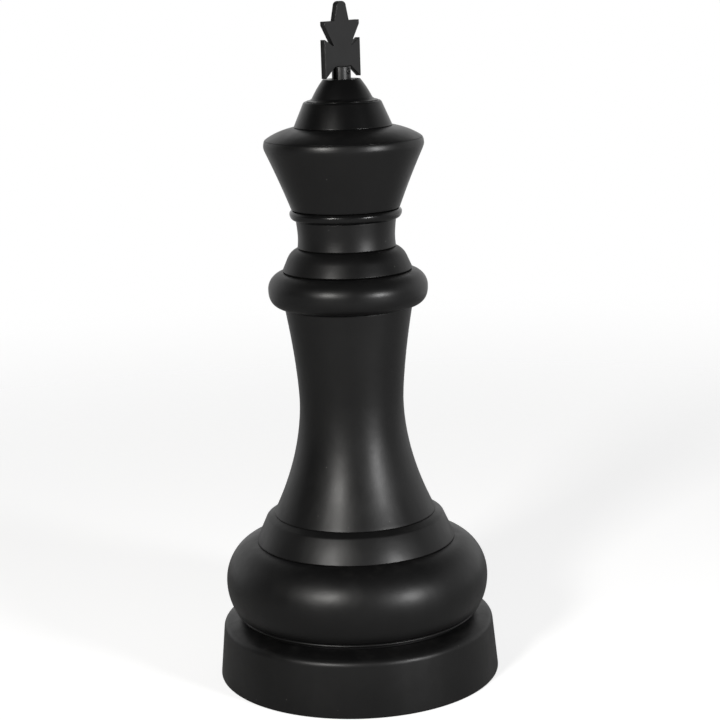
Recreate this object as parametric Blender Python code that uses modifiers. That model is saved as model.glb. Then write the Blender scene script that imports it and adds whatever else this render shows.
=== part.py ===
"""Giant chess king for the garden, 914 mm tall and 386 mm across its base.

Twelve hollow turned-look sections are stacked on two steel tubes.  The lower tube clamps
the base stack to a steel base plate with a ballast ring.  The upper tube clamps the head
sections, and its lower end plugs into the lower tube, so the head lifts off.  The top
dome is a loose cap that carries the finial: a round rod with a flat cross, which turns.

The frame's origin is the centre of the footprint, +Z is up and the cross faces -Y.
"""
import math

import bmesh
import bpy

MM = 0.001
GAP = 0.3 * MM              # between pieces that touch
STEPS = 24                  # sides of a turned piece
SMALL_STEPS = 12            # sides of a screw, bolt or drilled hole
WALL = 5 * MM               # thickness of a section's wall and decks
FOOT = 12 * MM              # width of the ring that a section stands on

# plinth and the bulb that stands on it
BASE_RADIUS = 193 * MM
PLINTH_SHOULDER = (185.7 * MM, 75 * MM)     # where wall and sloping top would meet
PLINTH_ROUNDING = 7 * MM
PLINTH_TOP_RADIUS = 160.5 * MM
PLINTH_TOP = 82 * MM
PLINTH_FOOT_RADIUS = 181.3 * MM
PLINTH_LEDGE_RADIUS = 166 * MM
BULB_FOOT_RADIUS = 157 * MM
BULB_LIP = (165.6 * MM, 88.2 * MM)
BULB_CENTRE = (132.2 * MM, 134 * MM)
BULB_SIZE = (47.8 * MM, 55.2 * MM, 62 * MM)     # outwards, up and down from its centre
BULB_TOP_ANGLE = 84.8
BULB_LIP_THICKNESS = 2.9 * MM
BULB_LIP_ANGLE = -40.2

# step collar and stem
STEP_BOTTOM_RADIUS = 136.1 * MM
STEP_EDGE = (121.8 * MM, 221.8 * MM)
STEP_TOP = 227.4 * MM
STEM_FOOT_RADIUS = 110.7 * MM
STEM_WAIST = (70.6 * MM, 383 * MM)
STEM_TOP = (86.1 * MM, 512.6 * MM)
STEM_FLARE_LOW = 1.93
STEM_FLARE_HIGH = 1.5

# collar under the head
RING_CENTRE = (83.3 * MM, 538 * MM)
RING_SIZE = (23.9 * MM, 22.6 * MM, 25 * MM)
RING_FULLNESS = 0.8         # below 1, the ring's lower half is fuller than an ellipse
DOME_BOTTOM_RADIUS = 86.9 * MM
DOME_SIDE_TOP = (80.3 * MM, 577.8 * MM)
DOME_SHOULDER = (74.9 * MM, 589.5 * MM)
DOME_TOP = (63.8 * MM, 591.9 * MM)

# head
NECK_WAIST = (65 * MM, 606 * MM)
NECK_LEAN = (614 * MM, 600 * MM)            # how far the waist's curve reaches, up and down
NECK_BOTTOM_RADIUS = 65.8 * MM
NECK_TOP = (67.1 * MM, 629.5 * MM)
BEAD_CENTRE = (68.1 * MM, 638.4 * MM)
BEAD_SIZE = (7 * MM, 5.2 * MM, 8.6 * MM)
BEAD_INNER_RADIUS = 50 * MM
CUP_BOTTOM_RADIUS = 72.4 * MM
CUP_WALL_SWELL = (86.6 * MM, 681.8 * MM)
CUP_WALL_TOP = (104.1 * MM, 720.3 * MM)
CUP_RIM_LEAN = (106.4 * MM, 725.4 * MM)
CUP_RIM = (106.4 * MM, 727.6 * MM)
CUP_TOP_LEAN = (106.4 * MM, 733.4 * MM)
CUP_TOP = (104.6 * MM, 735.9 * MM)
SHOULDER_EDGE = (100.8 * MM, 739 * MM)
SHOULDER_FOOT = (103.7 * MM, 737 * MM)
SHOULDER_SWELL = (86 * MM, 748.2 * MM)
SHOULDER_TOP = (65.6 * MM, 752 * MM)
LOWER_DOME_EDGE = (51.9 * MM, 783.4 * MM)
LOWER_DOME_TOP = (50.2 * MM, 785 * MM)
CAP_FLANGE = (47.4 * MM, 786 * MM)
CAP_FLANGE_TOP = (43 * MM, 787 * MM)
CAP_FOOT = (40 * MM, 789.2 * MM)
CAP_SWELL = (33.9 * MM, 801.8 * MM)
CAP_TOP = (24.7 * MM, 813.6 * MM)
CAP_WALL = 4 * MM
CAP_RING = 14 * MM          # width of the ring that the cap stands on

# finial
ROD_RADIUS = 12.5 * MM
ROD_BOTTOM = 745 * MM
ROD_TOP = 829.7 * MM
CROSS_THICKNESS = 7.5 * MM
CROSS_BOTTOM = ROD_TOP + GAP
CROSS_TOP = 914 * MM
TANG_HALF_WIDTH = 9 * MM
TANG_BOTTOM = 812 * MM
SCREW_Z = 823.5 * MM
SCREW_BORE = 2.35 * MM
SCREW_SHANK = 2 * MM
SCREW_HEAD = 3.6 * MM
SCREW_COUNTERBORE = 4 * MM
SCREW_REACH = (-9 * MM, 11.1 * MM, 13 * MM)     # shank's end, head's foot, head's top; from the axis
RING_GROOVE = (11.2 * MM, 16.4 * MM, 14 * MM)   # its radius; bottom and top below the cap's top
RETAINING_RING = (11.6 * MM, 15.5 * MM, 16 * MM, 1.6 * MM)  # bore, radius, bottom below the cap, height
BUSH_BORE = ROD_RADIUS + 0.4 * MM
BUSH_RADIUS = 15.7 * MM
BUSH_FLANGE = (20 * MM, 2.7 * MM)
BUSH_LENGTH = 13.7 * MM

# tubes through the middle
SPINE_RADIUS = 21 * MM
SPINE_BORE = 18.5 * MM
SPINE_TOP = 604 * MM
HEAD_TUBE_RADIUS = 16 * MM
HEAD_TUBE_BORE = 13.5 * MM
HEAD_TUBE_BOTTOM = 535 * MM
HEAD_TUBE_TOP = 796 * MM
SPINE_HOLE = SPINE_RADIUS + 0.5 * MM
HEAD_HOLE = HEAD_TUBE_RADIUS + 0.5 * MM
WASHER_HEIGHT = 2 * MM
SPINE_WASHER_RADIUS = 33 * MM
SPINE_NUT = (55 * MM, 8 * MM)       # across flats, height
HEAD_WASHER_RADIUS = 26 * MM
HEAD_NUT = (46 * MM, 7.5 * MM)
SPINE_BUSH_BOTTOM = 545 * MM
SPINE_BUSH_LIP = 2 * MM
TUBE_COLLAR = (30 * MM, 4 * MM)     # radius and height of the ring welded to the upper tube

# underside
PLATE_BOTTOM = 8 * MM
PLATE_TOP = 14 * MM
PLATE_RADIUS = 181 * MM
PLATE_SCREWS = 6
PLATE_SCREW_CIRCLE = 173.5 * MM
PLATE_SCREW_HOLE = 2.8 * MM
PLATE_SCREW_SHANK = 2.5 * MM
PLATE_SCREW_HEAD = (6 * MM, 3 * MM)     # radius and height
PLATE_SCREW_TOP = PLATE_TOP + 4 * MM
FLANGE_RADIUS = 50 * MM
FLANGE_TOP = 20.3 * MM
FLANGE_BOLTS = 4
FLANGE_BOLT_CIRCLE = 37 * MM
FLANGE_BOLT_HOLE = 4.3 * MM
FLANGE_BOLT_SHANK = 4 * MM
FLANGE_BOLT_HEAD = (6.5 * MM, 4.5 * MM)
FLANGE_BOLT_TOP = 30 * MM
FLANGE_NUT = (13 * MM, 6.5 * MM)
BALLAST_INNER_RADIUS = 60 * MM
BALLAST_OUTER_RADIUS = 150 * MM
BALLAST_TOP = 49.3 * MM

parts = bpy.data.collections.new("giant_chess_king")
cutters = bpy.data.collections.new("cutters")


# ---------------------------------------------------------------- outlines

def ellipse_arc(centre, size, start, end, count, fullness=1.0):
    """Points of an ellipse quarter; size is (outwards, upwards), angles in degrees."""
    points = []
    for k in range(count + 1):
        angle = math.radians(start + (end - start) * k / count)
        across = abs(math.cos(angle)) ** fullness
        along = math.copysign(abs(math.sin(angle)) ** fullness, math.sin(angle))
        points.append((centre[0] + size[0] * across, centre[1] + size[1] * along))
    return points


def swell(start, control, end, count):
    """Points of a quadratic curve from start to end that leans towards control."""
    points = []
    for k in range(count + 1):
        t = k / count
        a, b, c = (1 - t) ** 2, 2 * t * (1 - t), t ** 2
        points.append((a * start[0] + b * control[0] + c * end[0], a * start[1] + b * control[1] + c * end[1]))
    return points


def rounded_corner(before, corner, after, reach, count):
    """A corner cut back by reach along both of its sides and rounded."""
    start, end = [
        tuple(c + (s - c) * reach / math.dist(corner, side) for s, c in zip(side, corner))
        for side in (before, after)
    ]
    return swell(start, corner, end, count)


def stem_radius(z):
    """The stem flares both ways from its waist, and more strongly towards its foot."""
    waist_radius, waist_z = STEM_WAIST
    if z < waist_z:
        reach = (waist_z - z) / (waist_z - STEP_TOP)
        return waist_radius + (STEM_FOOT_RADIUS - waist_radius) * reach ** STEM_FLARE_LOW
    reach = (z - waist_z) / (STEM_TOP[1] - waist_z)
    return waist_radius + (STEM_TOP[0] - waist_radius) * reach ** STEM_FLARE_HIGH


def hollow(outer, bore, foot=FOOT, wall=WALL):
    """Section of a shell with a deck on top, from the bore out and round to a foot ring.

    outer runs down the outside.  The inside keeps the wall's thickness, and starts and
    ends under the deck and over the foot ring.
    """
    top_z, bottom_z = outer[0][1], outer[-1][1]
    inner_top, inner_bottom = top_z - wall, bottom_z + wall
    inside = [(radius - wall, z) for radius, z in outer if inner_bottom < z < inner_top]
    upper = radius_at(outer, inner_top) - wall
    lower = radius_at(outer, inner_bottom) - wall
    foot_radius = outer[-1][0] - foot
    down = [(bore, top_z)] + outer + [(foot_radius, bottom_z), (foot_radius, inner_bottom)]
    up = [(lower, inner_bottom)] + inside[::-2] + [(upper, inner_top), (bore, inner_top)]
    return down + up


def radius_at(outer, z):
    """Radius of an outline that runs downwards, read at one height."""
    for (r0, z0), (r1, z1) in zip(outer, outer[1:]):
        if z1 <= z <= z0 and z1 < z0:
            return r0 + (r1 - r0) * (z0 - z) / (z0 - z1)
    return outer[-1][0]


def ring(inner, outer, bottom, top):
    """Section of a plain ring."""
    return [(inner, top), (outer, top), (outer, bottom), (inner, bottom)]


# ---------------------------------------------------------------- making pieces

def material(name, colour, roughness, metallic=0.0):
    made = bpy.data.materials.new(name)
    made.use_nodes = True
    shader = made.node_tree.nodes["Principled BSDF"]
    shader.inputs["Base Color"].default_value = (*colour, 1.0)
    shader.inputs["Roughness"].default_value = roughness
    shader.inputs["Metallic"].default_value = metallic
    made.diffuse_color = (*colour, 1.0)
    return made


def add(name, mesh, look, collection=None):
    piece = bpy.data.objects.new(name, mesh)
    (collection or parts).objects.link(piece)
    if look:
        mesh.materials.append(look)
    return piece


def turned(name, section, look, steps=STEPS, closed=True):
    """A turned piece: a section in the XZ plane and a Screw modifier round Z."""
    mesh = bpy.data.meshes.new(name)
    count = len(section)
    edges = [(k, k + 1) for k in range(count - 1)]
    if closed:
        edges.append((count - 1, 0))
    mesh.from_pydata([(radius, 0, z) for radius, z in section], edges, [])
    piece = add(name, mesh, look)
    screw = piece.modifiers.new("turned", "SCREW")
    screw.axis = "Z"
    screw.steps = steps
    screw.render_steps = steps
    screw.use_merge_vertices = True
    screw.merge_threshold = 0.00002
    screw.use_smooth_shade = True
    return piece


def cylinder_cutter(radius, start, end, steps=SMALL_STEPS):
    """A hidden cylinder between two points, for a drilled hole."""
    mesh = bpy.data.meshes.new("cutter")
    shape = bmesh.new()
    length = math.dist(start, end)
    bmesh.ops.create_cone(shape, cap_ends=True, segments=steps, radius1=radius, radius2=radius, depth=length)
    shape.to_mesh(mesh)
    shape.free()
    cutter = add("cutter", mesh, None, cutters)
    cutter.location = [(a + b) / 2 for a, b in zip(start, end)]
    if abs(end[1] - start[1]) > abs(end[2] - start[2]):
        cutter.rotation_euler = (math.pi / 2, 0, 0)
    return hide(cutter)


def box_cutter(low, high):
    """A hidden box, for a slot."""
    mesh = bpy.data.meshes.new("cutter")
    shape = bmesh.new()
    bmesh.ops.create_cube(shape, size=1.0)
    for vertex in shape.verts:
        vertex.co = [a if c < 0 else b for a, b, c in zip(low, high, vertex.co)]
    shape.to_mesh(mesh)
    shape.free()
    return hide(add("cutter", mesh, None, cutters))


def hide(cutter):
    cutter.hide_render = True
    cutter.display_type = "WIRE"
    return cutter


def cut(piece, cutter):
    knife = piece.modifiers.new("cut", "BOOLEAN")
    knife.operation = "DIFFERENCE"
    knife.solver = "EXACT"
    knife.object = cutter


def on_circle(radius, count, turn=0.0):
    """Points spaced evenly round a circle about Z."""
    angles = [2 * math.pi * (k + turn) / count for k in range(count)]
    return [(radius * math.cos(angle), radius * math.sin(angle)) for angle in angles]


def hex_nut(name, across_flats, height, bottom, hole, look, centre=(0.0, 0.0)):
    """A hexagonal nut with a plain bore."""
    mesh = bpy.data.meshes.new(name)
    shape = bmesh.new()
    corner = across_flats / math.sqrt(3)
    bmesh.ops.create_cone(shape, cap_ends=True, segments=6, radius1=corner, radius2=corner, depth=height)
    shape.to_mesh(mesh)
    shape.free()
    nut = add(name, mesh, look)
    nut.location = (*centre, bottom + height / 2)
    cut(nut, cylinder_cutter(hole, (*centre, bottom - height), (*centre, bottom + 2 * height), STEPS))
    return nut


def button_bolt(name, head, shank, look, centre):
    """A round-headed bolt, head down; head is (radius, bottom, top) and shank (radius, top)."""
    head_radius, head_bottom, head_top = head
    shank_radius, shank_top = shank
    section = [
        (0, shank_top),
        (shank_radius, shank_top),
        (shank_radius, head_top),
        (head_radius, head_top),
        (head_radius * 0.85, head_bottom),
        (0, head_bottom),
    ]
    bolt = turned(name, section, look, SMALL_STEPS, closed=False)
    bolt.location = (*centre, 0)
    return bolt


# ---------------------------------------------------------------- base sections

def make_plinth(look):
    """The drum that stands on the ground, with a ledge inside for the base plate."""
    top_edge = (PLINTH_TOP_RADIUS, PLINTH_TOP)
    foot_edge = (BASE_RADIUS, 0)
    inner_wall = PLINTH_SHOULDER[0] - WALL
    ledge_bottom = PLATE_TOP + GAP
    section = [(SPINE_HOLE, PLINTH_TOP), top_edge]
    section += rounded_corner(top_edge, PLINTH_SHOULDER, foot_edge, PLINTH_ROUNDING, 4)
    section += [
        (BASE_RADIUS - 0.1 * MM, 1.5 * MM),
        (BASE_RADIUS - 1.5 * MM, 0),
        (PLINTH_FOOT_RADIUS, 0),
        (PLINTH_FOOT_RADIUS, ledge_bottom),
        (PLINTH_LEDGE_RADIUS, ledge_bottom),
        (PLINTH_LEDGE_RADIUS, ledge_bottom + WALL),
        (BASE_RADIUS - 2 * WALL, ledge_bottom + WALL),
        (inner_wall, PLINTH_SHOULDER[1] - WALL),
        (PLINTH_TOP_RADIUS - WALL, PLINTH_TOP - WALL),
        (SPINE_HOLE, PLINTH_TOP - WALL),
    ]
    plinth = turned("plinth", section, look)
    for x, y in on_circle(PLATE_SCREW_CIRCLE, PLATE_SCREWS, 0.5):
        cut(plinth, cylinder_cutter(PLATE_SCREW_HOLE, (x, y, PLATE_BOTTOM), (x, y, ledge_bottom + 2 * WALL)))


def make_base_bulb(look):
    """The swollen bulb, with a thin lip over the recess above the plinth."""
    outwards, up, down = BULB_SIZE
    outer = ellipse_arc(BULB_CENTRE, (outwards, up), BULB_TOP_ANGLE, 0, 6)
    outer += ellipse_arc(BULB_CENTRE, (outwards, down), 0, BULB_LIP_ANGLE, 5)[1:]
    edge, bottom = BULB_LIP
    top = bottom + BULB_LIP_THICKNESS
    outer += [
        (edge + 0.9 * MM, top + 1.3 * MM),
        (edge - 2.4 * MM, top + 0.4 * MM),
        (edge - 0.9 * MM, top),
        (edge, (bottom + top) / 2),
        (edge - 0.9 * MM, bottom),
        (BULB_FOOT_RADIUS, bottom),
        (BULB_FOOT_RADIUS, PLINTH_TOP + GAP),
    ]
    turned("base_bulb", hollow(outer, SPINE_HOLE), look)


def make_step_collar(look):
    """The conical step between bulb and stem."""
    outer = [
        (STEM_FOOT_RADIUS, STEP_TOP),
        (STEP_EDGE[0] - 1.5 * MM, STEP_EDGE[1] + 0.8 * MM),
        (STEP_EDGE[0], STEP_EDGE[1] - 1 * MM),
        (STEP_BOTTOM_RADIUS, bulb_top() + GAP),
    ]
    turned("step_collar", hollow(outer, SPINE_HOLE), look)


def bulb_top():
    return BULB_CENTRE[1] + BULB_SIZE[1] * math.sin(math.radians(BULB_TOP_ANGLE))


def make_stem(look):
    """The long waisted stem."""
    heights = [STEM_TOP[1]]
    heights += [STEM_TOP[1] - (STEM_TOP[1] - STEP_TOP) * k / 11 for k in range(1, 11)]
    heights.append(STEP_TOP + GAP)
    turned("stem", hollow([(stem_radius(z), z) for z in heights], SPINE_HOLE), look)


def make_collar_ring(look):
    """The round ring under the head."""
    outwards, up, down = RING_SIZE
    outer = ellipse_arc(RING_CENTRE, (outwards, up), 90, 0, 5)
    outer += ellipse_arc(RING_CENTRE, (outwards, down), 0, -87, 5, RING_FULLNESS)[1:]
    turned("collar_ring", hollow(outer, SPINE_HOLE), look)


def make_collar_dome(look):
    """The low dome between the ring and the neck."""
    bottom = RING_CENTRE[1] + RING_SIZE[1] + GAP
    outer = swell(DOME_TOP, DOME_SHOULDER, DOME_SIDE_TOP, 5)
    outer += [(DOME_BOTTOM_RADIUS, bottom + 1.6 * MM), (DOME_BOTTOM_RADIUS - 1.2 * MM, bottom)]
    turned("collar_dome", hollow(outer, SPINE_HOLE), look)


# ---------------------------------------------------------------- head sections

def make_neck(look):
    """The slightly waisted neck, which stands on the collar dome and lifts off with the head."""
    outer = swell(NECK_TOP, (NECK_WAIST[0], NECK_LEAN[0]), NECK_WAIST, 3)
    outer += swell(NECK_WAIST, (NECK_WAIST[0], NECK_LEAN[1]), (NECK_BOTTOM_RADIUS, DOME_TOP[1] + 1.2 * MM), 3)[1:]
    outer.append((NECK_BOTTOM_RADIUS - 0.8 * MM, DOME_TOP[1] + GAP))
    turned("neck", hollow(outer, HEAD_HOLE), look)


def make_neck_bead(look):
    """The rounded bead between neck and cup."""
    outwards, up, down = BEAD_SIZE
    section = [(BEAD_INNER_RADIUS, BEAD_CENTRE[1] + up)]
    section += ellipse_arc(BEAD_CENTRE, (outwards, up), 90, 0, 4)
    section += ellipse_arc(BEAD_CENTRE, (outwards, down), 0, -90, 4)[1:]
    section.append((BEAD_INNER_RADIUS, BEAD_CENTRE[1] - down))
    turned("neck_bead", section, look)


def make_crown_cup(look):
    """The cup that widens up to the crown's rim."""
    bottom = BEAD_CENTRE[1] + BEAD_SIZE[1] + GAP
    outer = swell(CUP_TOP, CUP_TOP_LEAN, CUP_RIM, 3)
    outer += swell(CUP_RIM, CUP_RIM_LEAN, CUP_WALL_TOP, 3)[1:]
    outer += swell(CUP_WALL_TOP, CUP_WALL_SWELL, (CUP_BOTTOM_RADIUS, bottom), 4)[1:]
    turned("crown_cup", hollow(outer, CUP_TOP[0] - WALL - FOOT), look)


def make_crown_shoulder(look):
    """The crown's low lid."""
    bottom = CUP_TOP[1] + GAP
    section = [(HEAD_HOLE, SHOULDER_TOP[1])]
    section += swell(SHOULDER_TOP, SHOULDER_SWELL, SHOULDER_EDGE, 5)
    section += [
        SHOULDER_FOOT,
        (CUP_TOP[0], bottom),
        (HEAD_HOLE, bottom),
    ]
    turned("crown_shoulder", section, look)


def make_lower_dome(look):
    """The lower of the two domes on the crown, with straight sloping sides."""
    outer = [LOWER_DOME_TOP, LOWER_DOME_EDGE, (SHOULDER_TOP[0] - 0.2 * MM, SHOULDER_TOP[1] + GAP)]
    turned("lower_dome", hollow(outer, HEAD_HOLE), look)


def make_upper_dome(look):
    """The top dome, a loose cap with a flared foot that carries the finial."""
    outer = swell(CAP_TOP, CAP_SWELL, CAP_FOOT, 5)
    outer += [CAP_FLANGE_TOP, CAP_FLANGE, (CAP_FLANGE[0], LOWER_DOME_TOP[1] + GAP)]
    turned("upper_dome", hollow(outer, 16 * MM, CAP_RING, CAP_WALL), look)


# ---------------------------------------------------------------- finial

def make_finial_rod(look):
    """The rod, with a groove for its retaining ring and a slot for the cross's tang."""
    groove_radius, groove_bottom, groove_top = RING_GROOVE
    section = [
        (0, ROD_TOP),
        (ROD_RADIUS - 0.8 * MM, ROD_TOP),
        (ROD_RADIUS, ROD_TOP - 0.8 * MM),
        (ROD_RADIUS, CAP_TOP[1] - groove_top),
        (groove_radius, CAP_TOP[1] - groove_top),
        (groove_radius, CAP_TOP[1] - groove_bottom),
        (ROD_RADIUS, CAP_TOP[1] - groove_bottom),
        (ROD_RADIUS, ROD_BOTTOM + 1.5 * MM),
        (ROD_RADIUS - 1.5 * MM, ROD_BOTTOM),
        (0, ROD_BOTTOM),
    ]
    rod = turned("finial_rod", section, look, closed=False)
    slot = CROSS_THICKNESS / 2 + GAP
    beyond = 2 * ROD_RADIUS
    cut(rod, box_cutter((-beyond, -slot, TANG_BOTTOM - GAP), (beyond, slot, ROD_TOP + 5 * MM)))
    shank_end, head_foot, _ = SCREW_REACH
    cut(rod, cylinder_cutter(SCREW_BORE, (0, -beyond, SCREW_Z), (0, -shank_end + 0.5 * MM, SCREW_Z)))
    cut(rod, cylinder_cutter(SCREW_COUNTERBORE, (0, -beyond, SCREW_Z), (0, GAP - head_foot, SCREW_Z)))


def cross_outline():
    """Half of the cross, from the tang's foot up to the middle of the peg on top."""
    half = [
        (TANG_HALF_WIDTH, TANG_BOTTOM),
        (TANG_HALF_WIDTH, CROSS_BOTTOM),
        (16.8 * MM, CROSS_BOTTOM),
        (37.3 * MM, 814.8 * MM),
        (37.3 * MM, 866.2 * MM),
        (16.8 * MM, 855.2 * MM),
        (36.5 * MM, 883.6 * MM),
        (36.5 * MM, 888.9 * MM),
        (14.8 * MM, 888.9 * MM),
    ]
    return half + ellipse_arc((0, 908.2 * MM), (9.4 * MM, CROSS_TOP - 908.2 * MM), 0, 90, 4)


def make_finial_cross(look):
    """The flat cross, cut from plate, with a peg on top and a tang in the rod's slot."""
    half = cross_outline()
    outline = half + [(-x, z) for x, z in half[-2::-1]]
    curve = bpy.data.curves.new("finial_cross", "CURVE")
    curve.dimensions = "2D"
    curve.fill_mode = "BOTH"
    curve.extrude = CROSS_THICKNESS / 2
    spline = curve.splines.new("POLY")
    spline.points.add(len(outline) - 1)
    for point, (x, z) in zip(spline.points, outline):
        point.co = (x, z, 0, 1)
    spline.use_cyclic_u = True
    flat = bpy.data.objects.new("cross_outline", curve)
    parts.objects.link(flat)
    flat.rotation_euler = (math.pi / 2, 0, 0)
    bpy.context.view_layer.update()
    mesh = bpy.data.meshes.new_from_object(flat.evaluated_get(bpy.context.evaluated_depsgraph_get()))
    shape = bmesh.new()
    shape.from_mesh(mesh)
    bmesh.ops.remove_doubles(shape, verts=shape.verts, dist=0.00001)
    shape.to_mesh(mesh)
    shape.free()
    mesh.materials.clear()
    cross = add("finial_cross", mesh, look)
    cross.matrix_world = flat.matrix_world
    bpy.data.objects.remove(flat)
    cut(cross, cylinder_cutter(SCREW_BORE, (0, -20 * MM, SCREW_Z), (0, 20 * MM, SCREW_Z)))


def make_cross_screw(look):
    """The screw through rod and tang, with its head sunk in the rod's front."""
    shank_end, head_foot, head_top = SCREW_REACH
    section = [
        (0, head_top),
        (SCREW_HEAD - 0.5 * MM, head_top),
        (SCREW_HEAD, head_top - 0.8 * MM),
        (SCREW_HEAD, head_foot),
        (SCREW_SHANK, head_foot),
        (SCREW_SHANK, shank_end),
        (0, shank_end),
    ]
    screw = turned("cross_screw", section, look, SMALL_STEPS, closed=False)
    screw.location = (0, 0, SCREW_Z)
    screw.rotation_euler = (math.pi / 2, 0, 0)


def make_finial_bearing(bush_look, ring_look):
    """The flanged bush in the cap and the ring that keeps the rod in it."""
    flange_radius, flange_height = BUSH_FLANGE
    flange_top = CAP_TOP[1] - CAP_WALL - GAP
    bush = [
        (BUSH_BORE, CAP_TOP[1]),
        (BUSH_RADIUS, CAP_TOP[1]),
        (BUSH_RADIUS, flange_top),
        (flange_radius, flange_top),
        (flange_radius, flange_top - flange_height),
        (BUSH_RADIUS, flange_top - flange_height),
        (BUSH_RADIUS, CAP_TOP[1] - BUSH_LENGTH),
        (BUSH_BORE, CAP_TOP[1] - BUSH_LENGTH),
    ]
    turned("finial_bush", bush, bush_look)
    inner, outer, drop, height = RETAINING_RING
    bottom = CAP_TOP[1] - drop
    turned("finial_retaining_ring", ring(inner, outer, bottom, bottom + height), ring_look)


# ---------------------------------------------------------------- tubes and underside

def make_spine(steel, nylon):
    """The lower tube with its welded flange, its top nut and washer, and its bush."""
    section = [
        (SPINE_BORE, SPINE_TOP),
        (SPINE_RADIUS, SPINE_TOP),
        (SPINE_RADIUS, FLANGE_TOP),
        (FLANGE_RADIUS, FLANGE_TOP),
        (FLANGE_RADIUS, PLATE_TOP + GAP),
        (SPINE_BORE, PLATE_TOP + GAP),
    ]
    spine = turned("spine_tube", section, steel)
    for x, y in on_circle(FLANGE_BOLT_CIRCLE, FLANGE_BOLTS, 0.5):
        cut(spine, cylinder_cutter(FLANGE_BOLT_HOLE, (x, y, PLATE_BOTTOM), (x, y, FLANGE_TOP + 5 * MM)))
    washer_bottom = DOME_TOP[1] + GAP
    washer_top = washer_bottom + WASHER_HEIGHT
    turned("spine_washer", ring(SPINE_HOLE, SPINE_WASHER_RADIUS, washer_bottom, washer_top), steel)
    hex_nut("spine_nut", *SPINE_NUT, washer_top + GAP, SPINE_HOLE, steel)
    lip_top = SPINE_TOP + GAP + SPINE_BUSH_LIP
    bush = [
        (HEAD_HOLE, lip_top),
        (SPINE_RADIUS, lip_top),
        (SPINE_RADIUS, SPINE_TOP + GAP),
        (SPINE_BORE - GAP, SPINE_TOP + GAP),
        (SPINE_BORE - GAP, SPINE_BUSH_BOTTOM),
        (HEAD_HOLE, SPINE_BUSH_BOTTOM),
    ]
    turned("spine_bush", bush, nylon)


def make_head_tube(steel):
    """The upper tube, with a welded ring under the neck's deck and a nut on the lower dome."""
    collar_radius, collar_height = TUBE_COLLAR
    collar_top = NECK_TOP[1] - WALL - GAP
    section = [
        (HEAD_TUBE_BORE, HEAD_TUBE_TOP),
        (HEAD_TUBE_RADIUS, HEAD_TUBE_TOP),
        (HEAD_TUBE_RADIUS, collar_top),
        (collar_radius, collar_top),
        (collar_radius, collar_top - collar_height),
        (HEAD_TUBE_RADIUS, collar_top - collar_height),
        (HEAD_TUBE_RADIUS, HEAD_TUBE_BOTTOM + 3 * MM),
        (HEAD_TUBE_RADIUS - 1 * MM, HEAD_TUBE_BOTTOM),
        (HEAD_TUBE_BORE, HEAD_TUBE_BOTTOM),
    ]
    turned("head_tube", section, steel)
    washer_bottom = LOWER_DOME_TOP[1] + GAP
    washer_top = washer_bottom + WASHER_HEIGHT
    turned("head_washer", ring(HEAD_HOLE, HEAD_WASHER_RADIUS, washer_bottom, washer_top), steel)
    hex_nut("head_nut", *HEAD_NUT, washer_top + GAP, HEAD_HOLE, steel)


def make_base_plate(steel, screw_steel):
    """The plate that closes the underside, its screws and the bolts of the spine's flange."""
    section = [(0, PLATE_TOP), (PLATE_RADIUS, PLATE_TOP), (PLATE_RADIUS, PLATE_BOTTOM), (0, PLATE_BOTTOM)]
    plate = turned("base_plate", section, steel, closed=False)
    head_top = PLATE_BOTTOM - GAP
    below, above = PLATE_BOTTOM - 5 * MM, PLATE_TOP + 5 * MM
    radius, height = PLATE_SCREW_HEAD
    for k, (x, y) in enumerate(on_circle(PLATE_SCREW_CIRCLE, PLATE_SCREWS, 0.5), 1):
        cut(plate, cylinder_cutter(PLATE_SCREW_HOLE, (x, y, below), (x, y, above)))
        head = (radius, head_top - height, head_top)
        button_bolt(f"plate_screw_{k}", head, (PLATE_SCREW_SHANK, PLATE_SCREW_TOP), screw_steel, (x, y))
    radius, height = FLANGE_BOLT_HEAD
    for k, (x, y) in enumerate(on_circle(FLANGE_BOLT_CIRCLE, FLANGE_BOLTS, 0.5), 1):
        cut(plate, cylinder_cutter(FLANGE_BOLT_HOLE, (x, y, below), (x, y, above)))
        head = (radius, head_top - height, head_top)
        button_bolt(f"flange_bolt_{k}", head, (FLANGE_BOLT_SHANK, FLANGE_BOLT_TOP), screw_steel, (x, y))
        hex_nut(f"flange_nut_{k}", *FLANGE_NUT, FLANGE_TOP + GAP, FLANGE_BOLT_HOLE, screw_steel, (x, y))


def make_ballast(look):
    """The cast ring that keeps the piece upright."""
    section = ring(BALLAST_INNER_RADIUS, BALLAST_OUTER_RADIUS, PLATE_TOP + GAP, BALLAST_TOP)
    turned("ballast_ring", section, look)


def main():
    for old in list(bpy.data.objects):
        bpy.data.objects.remove(old)
    bpy.context.scene.collection.children.link(parts)
    bpy.context.scene.collection.children.link(cutters)

    section_makers = (
        make_plinth, make_base_bulb, make_step_collar, make_stem, make_collar_ring, make_collar_dome,
        make_neck, make_neck_bead, make_crown_cup, make_crown_shoulder, make_lower_dome, make_upper_dome,
    )
    for maker in section_makers:
        name = maker.__name__.replace("make_", "")
        maker(material(f"{name}_satin_black", (0.018, 0.018, 0.019), 0.4))

    steel = material("zinc_plated_steel", (0.55, 0.55, 0.53), 0.35, 1.0)
    screw_steel = material("screw_steel", (0.35, 0.35, 0.36), 0.3, 1.0)
    nylon = material("nylon", (0.75, 0.74, 0.7), 0.5)
    black_steel = material("black_painted_steel", (0.035, 0.036, 0.038), 0.38)
    make_finial_rod(black_steel)
    make_finial_cross(black_steel)
    make_cross_screw(black_steel)
    make_finial_bearing(nylon, screw_steel)
    make_spine(steel, nylon)
    make_head_tube(steel)
    make_base_plate(steel, screw_steel)
    make_ballast(material("cast_concrete", (0.42, 0.41, 0.39), 0.9))


main()
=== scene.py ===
"""Looks for the giant garden chess king.

Twelve turned sections, the finial's rod, its flat cross and its screw replace their CAD
solids with finer meshes that have softened edges.  The steel, nylon and concrete inside
keep their CAD shapes and get better materials.  Metres, +Z up, the cross faces -Y.
"""
import math

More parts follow.
